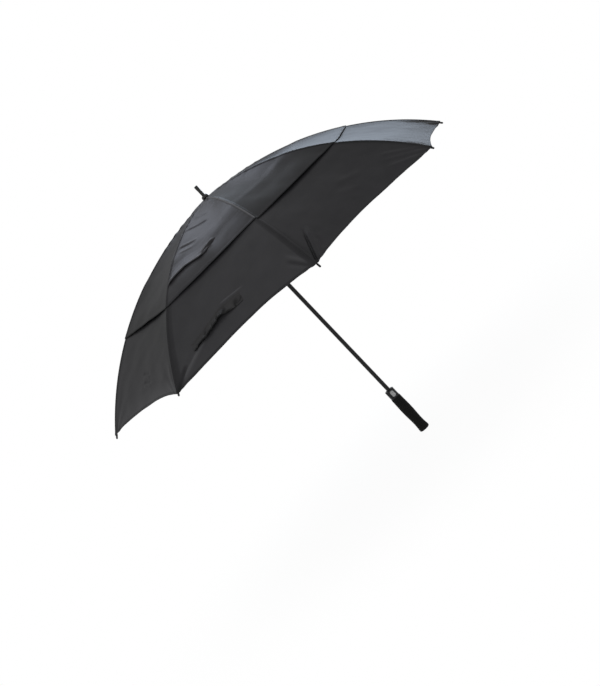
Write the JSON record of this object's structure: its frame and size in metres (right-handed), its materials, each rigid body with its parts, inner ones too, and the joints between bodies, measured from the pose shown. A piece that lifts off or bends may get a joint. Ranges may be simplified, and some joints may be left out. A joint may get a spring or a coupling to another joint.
{
  "type": "golf umbrella",
  "caption": "Open golf umbrella with a vented double canopy, folding rib and stretcher frame, sprung runner, straight black grip and push button.",
  "frame": {"origin": "middle of the flat butt end of the handle", "axes": "+Z along the shaft from handle to ferrule; +X along rib 1; the button faces -Y; the umbrella is open"},
  "size_m": [1.2964, 1.2964, 0.9501],
  "materials": {
    "canopy_cloth": "fine woven, soft sheen",
    "strap_cloth": "fine woven",
    "rib_black": "gloss",
    "rib_fittings": "satin black",
    "linkage_steel": "satin black",
    "spring_steel": "bright",
    "shaft_lacquer": "satin black",
    "black_moulding": "satin",
    "ferrule_gloss": "gloss",
    "grip_black": "fine matt texture",
    "end_cap": "matt",
    "button_grey": "satin"
  },
  "bodies": {
    "handle_and_shaft": {"end_cap": "end_cap", "grip": "grip_black", "collar": "black_moulding", "catch_pin": "spring_steel", "shaft": "shaft_lacquer", "ferrule": "ferrule_gloss", "ferrule_tip": "ferrule_gloss", "crown": "black_moulding", "crown_wire": "spring_steel"},
    "button": {"button": "button_grey"},
    "catch": {"catch": "spring_steel"},
    "runner": {"runner": "black_moulding", "runner_wire": "spring_steel", "main_spring": "spring_steel"},
    "slider": {"slider": "black_moulding", "slider_wire": "spring_steel"},
    "rib_1": {"rib_1": "rib_black", "rib_fittings_1": "rib_fittings"},
    "stretcher_1": {"stretcher_1": "linkage_steel"},
    "spring_arm_1": {"spring_arm_1": "linkage_steel"},
    "panel_1": {"panel_1": "canopy_cloth"},
    "rib_2": {"rib_2": "rib_black", "rib_fittings_2": "rib_fittings"},
    "stretcher_2": {"stretcher_2": "linkage_steel"},
    "spring_arm_2": {"spring_arm_2": "linkage_steel"},
    "panel_2": {"panel_2": "canopy_cloth"},
    "rib_3": {"rib_3": "rib_black", "rib_fittings_3": "rib_fittings"},
    "stretcher_3": {"stretcher_3": "linkage_steel"},
    "spring_arm_3": {"spring_arm_3": "linkage_steel"},
    "panel_3": {"panel_3": "canopy_cloth"},
    "rib_4": {"rib_4": "rib_black", "rib_fittings_4": "rib_fittings"},
    "stretcher_4": {"stretcher_4": "linkage_steel"},
    "spring_arm_4": {"spring_arm_4": "linkage_steel"},
    "panel_4": {"panel_4": "canopy_cloth"},
    "rib_5": {"rib_5": "rib_black", "rib_fittings_5": "rib_fittings"},
    "stretcher_5": {"stretcher_5": "linkage_steel"},
    "spring_arm_5": {"spring_arm_5": "linkage_steel"},
    "panel_5": {"panel_5": "canopy_cloth"},
    "rib_6": {"rib_6": "rib_black", "rib_fittings_6": "rib_fittings"},
    "stretcher_6": {"stretcher_6": "linkage_steel"},
    "spring_arm_6": {"spring_arm_6": "linkage_steel"},
    "panel_6": {"panel_6": "canopy_cloth", "closing_strap": "strap_cloth"},
    "rib_7": {"rib_7": "rib_black", "rib_fittings_7": "rib_fittings"},
    "stretcher_7": {"stretcher_7": "linkage_steel"},
    "spring_arm_7": {"spring_arm_7": "linkage_steel"},
    "panel_7": {"panel_7": "canopy_cloth"},
    "rib_8": {"rib_8": "rib_black", "rib_fittings_8": "rib_fittings"},
    "stretcher_8": {"stretcher_8": "linkage_steel"},
    "spring_arm_8": {"spring_arm_8": "linkage_steel"},
    "panel_8": {"panel_8": "canopy_cloth"}
  },
  "joints": [
    {"name": "umbrella_fold", "type": "hinge", "parent": "handle_and_shaft", "child": "rib_1", "pos_m": [0.011, 0, 0.90001], "axis": [0, 1, 0], "range_deg": [0, 62.5], "stiffness_Nm_per_rad": 3, "springref_deg": -76.2, "deforming": ["main_spring", "panel_1", "panel_2", "panel_3", "panel_4", "panel_5", "panel_6", "panel_7", "panel_8", "closing_strap"]},
    {"name": "stretcher_1_turn", "type": "hinge", "parent": "rib_1", "child": "stretcher_1", "pos_m": [0.35916, 0, 0.80843], "axis": [0, 1, 0], "range_deg": [-125, 0]},
    {"name": "spring_arm_1_turn", "type": "hinge", "parent": "stretcher_1", "child": "spring_arm_1", "pos_m": [0.10771, 0, 0.74229], "axis": [0, 1, 0], "range_deg": [0, 125]},
    {"name": "panel_1_fold", "type": "hinge", "parent": "handle_and_shaft", "child": "panel_1", "pos_m": [0.00939, 0.00389, 0.90001], "axis": [-0.3827, 0.9239, 0], "range_deg": [0, 62.5]},
    {"name": "rib_2_turn", "type": "hinge", "parent": "handle_and_shaft", "child": "rib_2", "pos_m": [0.00778, 0.00778, 0.90001], "axis": [-0.7071, 0.7071, 0], "range_deg": [0, 62.5]},
    {"name": "stretcher_2_turn", "type": "hinge", "parent": "rib_2", "child": "stretcher_2", "pos_m": [0.25396, 0.25396, 0.80843], "axis": [-0.7071, 0.7071, 0], "range_deg": [-125, 0]},
    {"name": "spring_arm_2_turn", "type": "hinge", "parent": "stretcher_2", "child": "spring_arm_2", "pos_m": [0.07616, 0.07616, 0.74229], "axis": [-0.7071, 0.7071, 0], "range_deg": [0, 125]},
    {"name": "panel_2_fold", "type": "hinge", "parent": "handle_and_shaft", "child": "panel_2", "pos_m": [0.00389, 0.00939, 0.90001], "axis": [-0.9239, 0.3827, 0], "range_deg": [0, 62.5]},
    {"name": "rib_3_turn", "type": "hinge", "parent": "handle_and_shaft", "child": "rib_3", "pos_m": [0, 0.011, 0.90001], "axis": [-1, 0, 0], "range_deg": [0, 62.5]},
    {"name": "stretcher_3_turn", "type": "hinge", "parent": "rib_3", "child": "stretcher_3", "pos_m": [0, 0.35916, 0.80843], "axis": [-1, 0, 0], "range_deg": [-125, 0]},
    {"name": "spring_arm_3_turn", "type": "hinge", "parent": "stretcher_3", "child": "spring_arm_3", "pos_m": [0, 0.10771, 0.74229], "axis": [-1, 0, 0], "range_deg": [0, 125]},
    {"name": "panel_3_fold", "type": "hinge", "parent": "handle_and_shaft", "child": "panel_3", "pos_m": [-0.00389, 0.00939, 0.90001], "axis": [-0.9239, -0.3827, 0], "range_deg": [0, 62.5]},
    {"name": "rib_4_turn", "type": "hinge", "parent": "handle_and_shaft", "child": "rib_4", "pos_m": [-0.00778, 0.00778, 0.90001], "axis": [-0.7071, -0.7071, 0], "range_deg": [0, 62.5]},
    {"name": "stretcher_4_turn", "type": "hinge", "parent": "rib_4", "child": "stretcher_4", "pos_m": [-0.25396, 0.25396, 0.80843], "axis": [-0.7071, -0.7071, 0], "range_deg": [-125, 0]},
    {"name": "spring_arm_4_turn", "type": "hinge", "parent": "stretcher_4", "child": "spring_arm_4", "pos_m": [-0.07616, 0.07616, 0.74229], "axis": [-0.7071, -0.7071, 0], "range_deg": [0, 125]},
    {"name": "panel_4_fold", "type": "hinge", "parent": "handle_and_shaft", "child": "panel_4", "pos_m": [-0.00939, 0.00389, 0.90001], "axis": [-0.3827, -0.9239, 0], "range_deg": [0, 62.5]},
    {"name": "rib_5_turn", "type": "hinge", "parent": "handle_and_shaft", "child": "rib_5", "pos_m": [-0.011, 0, 0.90001], "axis": [0, -1, 0], "range_deg": [0, 62.5]},
    {"name": "stretcher_5_turn", "type": "hinge", "parent": "rib_5", "child": "stretcher_5", "pos_m": [-0.35916, 0, 0.80843], "axis": [0, -1, 0], "range_deg": [-125, 0]},
    {"name": "spring_arm_5_turn", "type": "hinge", "parent": "stretcher_5", "child": "spring_arm_5", "pos_m": [-0.10771, 0, 0.74229], "axis": [0, -1, 0], "range_deg": [0, 125]},
    {"name": "panel_5_fold", "type": "hinge", "parent": "handle_and_shaft", "child": "panel_5", "pos_m": [-0.00939, -0.00389, 0.90001], "axis": [0.3827, -0.9239, 0], "range_deg": [0, 62.5]},
    {"name": "rib_6_turn", "type": "hinge", "parent": "handle_and_shaft", "child": "rib_6", "pos_m": [-0.00778, -0.00778, 0.90001], "axis": [0.7071, -0.7071, 0], "range_deg": [0, 62.5]},
    {"name": "stretcher_6_turn", "type": "hinge", "parent": "rib_6", "child": "stretcher_6", "pos_m": [-0.25396, -0.25396, 0.80843], "axis": [0.7071, -0.7071, 0], "range_deg": [-125, 0]},
    {"name": "spring_arm_6_turn", "type": "hinge", "parent": "stretcher_6", "child": "spring_arm_6", "pos_m": [-0.07616, -0.07616, 0.74229], "axis": [0.7071, -0.7071, 0], "range_deg": [0, 125]},
    {"name": "panel_6_fold", "type": "hinge", "parent": "handle_and_shaft", "child": "panel_6", "pos_m": [-0.00389, -0.00939, 0.90001], "axis": [0.9239, -0.3827, 0], "range_deg": [0, 62.5]},
    {"name": "rib_7_turn", "type": "hinge", "parent": "handle_and_shaft", "child": "rib_7", "pos_m": [0, -0.011, 0.90001], "axis": [1, 0, 0], "range_deg": [0, 62.5]},
    {"name": "stretcher_7_turn", "type": "hinge", "parent": "rib_7", "child": "stretcher_7", "pos_m": [0, -0.35916, 0.80843], "axis": [1, 0, 0], "range_deg": [-125, 0]},
    {"name": "spring_arm_7_turn", "type": "hinge", "parent": "stretcher_7", "child": "spring_arm_7", "pos_m": [0, -0.10771, 0.74229], "axis": [1, 0, 0], "range_deg": [0, 125]},
    {"name": "panel_7_fold", "type": "hinge", "parent": "handle_and_shaft", "child": "panel_7", "pos_m": [0.00389, -0.00939, 0.90001], "axis": [0.9239, 0.3827, 0], "range_deg": [0, 62.5]},
    {"name": "rib_8_turn", "type": "hinge", "parent": "handle_and_shaft", "child": "rib_8", "pos_m": [0.00778, -0.00778, 0.90001], "axis": [0.7071, 0.7071, 0], "range_deg": [0, 62.5]},
    {"name": "stretcher_8_turn", "type": "hinge", "parent": "rib_8", "child": "stretcher_8", "pos_m": [0.25396, -0.25396, 0.80843], "axis": [0.7071, 0.7071, 0], "range_deg": [-125, 0]},
    {"name": "spring_arm_8_turn", "type": "hinge", "parent": "stretcher_8", "child": "spring_arm_8", "pos_m": [0.07616, -0.07616, 0.74229], "axis": [0.7071, 0.7071, 0], "range_deg": [0, 125]},
    {"name": "panel_8_fold", "type": "hinge", "parent": "handle_and_shaft", "child": "panel_8", "pos_m": [0.00939, -0.00389, 0.90001], "axis": [0.3827, 0.9239, 0], "range_deg": [0, 62.5]},
    {"name": "runner_level", "type": "hinge", "parent": "stretcher_1", "child": "runner", "pos_m": [0.011, 0, 0.71686], "axis": [0, 1, 0], "range_deg": [0, 62.5]},
    {"name": "slider_level", "type": "hinge", "parent": "spring_arm_1", "child": "slider", "pos_m": [0.011, 0, 0.76773], "axis": [0, 1, 0], "range_deg": [-62.5, 0]},
    {"name": "button_press", "type": "slide", "parent": "handle_and_shaft", "child": "button", "axis": [0, 1, 0], "range_m": [0, 0.0016], "stiffness_N_per_m": 800, "springref_m": -0.002},
    {"name": "catch_tilt", "type": "hinge", "parent": "handle_and_shaft", "child": "catch", "pos_m": [0, -0.003, 0.092], "axis": [-1, 0, 0], "range_deg": [0, 2.37]}
  ],
  "couplings": [
    {"joint": "stretcher_1_turn", "follows": "umbrella_fold", "ratio": -2},
    {"joint": "spring_arm_1_turn", "follows": "umbrella_fold", "ratio": 2},
    {"joint": "panel_1_fold", "follows": "umbrella_fold", "ratio": 0.95},
    {"joint": "rib_2_turn", "follows": "umbrella_fold", "ratio": 1},
    {"joint": "stretcher_2_turn", "follows": "umbrella_fold", "ratio": -2},
    {"joint": "spring_arm_2_turn", "follows": "umbrella_fold", "ratio": 2},
    {"joint": "panel_2_fold", "follows": "umbrella_fold", "ratio": 0.95},
    {"joint": "rib_3_turn", "follows": "umbrella_fold", "ratio": 1},
    {"joint": "stretcher_3_turn", "follows": "umbrella_fold", "ratio": -2},
    {"joint": "spring_arm_3_turn", "follows": "umbrella_fold", "ratio": 2},
    {"joint": "panel_3_fold", "follows": "umbrella_fold", "ratio": 0.95},
    {"joint": "rib_4_turn", "follows": "umbrella_fold", "ratio": 1},
    {"joint": "stretcher_4_turn", "follows": "umbrella_fold", "ratio": -2},
    {"joint": "spring_arm_4_turn", "follows": "umbrella_fold", "ratio": 2},
    {"joint": "panel_4_fold", "follows": "umbrella_fold", "ratio": 0.95},
    {"joint": "rib_5_turn", "follows": "umbrella_fold", "ratio": 1},
    {"joint": "stretcher_5_turn", "follows": "umbrella_fold", "ratio": -2},
    {"joint": "spring_arm_5_turn", "follows": "umbrella_fold", "ratio": 2},
    {"joint": "panel_5_fold", "follows": "umbrella_fold", "ratio": 0.95},
    {"joint": "rib_6_turn", "follows": "umbrella_fold", "ratio": 1},
    {"joint": "stretcher_6_turn", "follows": "umbrella_fold", "ratio": -2},
    {"joint": "spring_arm_6_turn", "follows": "umbrella_fold", "ratio": 2},
    {"joint": "panel_6_fold", "follows": "umbrella_fold", "ratio": 0.95},
    {"joint": "rib_7_turn", "follows": "umbrella_fold", "ratio": 1},
    {"joint": "stretcher_7_turn", "follows": "umbrella_fold", "ratio": -2},
    {"joint": "spring_arm_7_turn", "follows": "umbrella_fold", "ratio": 2},
    {"joint": "panel_7_fold", "follows": "umbrella_fold", "ratio": 0.95},
    {"joint": "rib_8_turn", "follows": "umbrella_fold", "ratio": 1},
    {"joint": "stretcher_8_turn", "follows": "umbrella_fold", "ratio": -2},
    {"joint": "spring_arm_8_turn", "follows": "umbrella_fold", "ratio": 2},
    {"joint": "panel_8_fold", "follows": "umbrella_fold", "ratio": 0.95},
    {"joint": "runner_level", "follows": "umbrella_fold", "ratio": 1},
    {"joint": "slider_level", "follows": "umbrella_fold", "ratio": -1},
    {"joint": "catch_tilt", "follows": "button_press", "rad_per_m": 25.317}
  ]
}
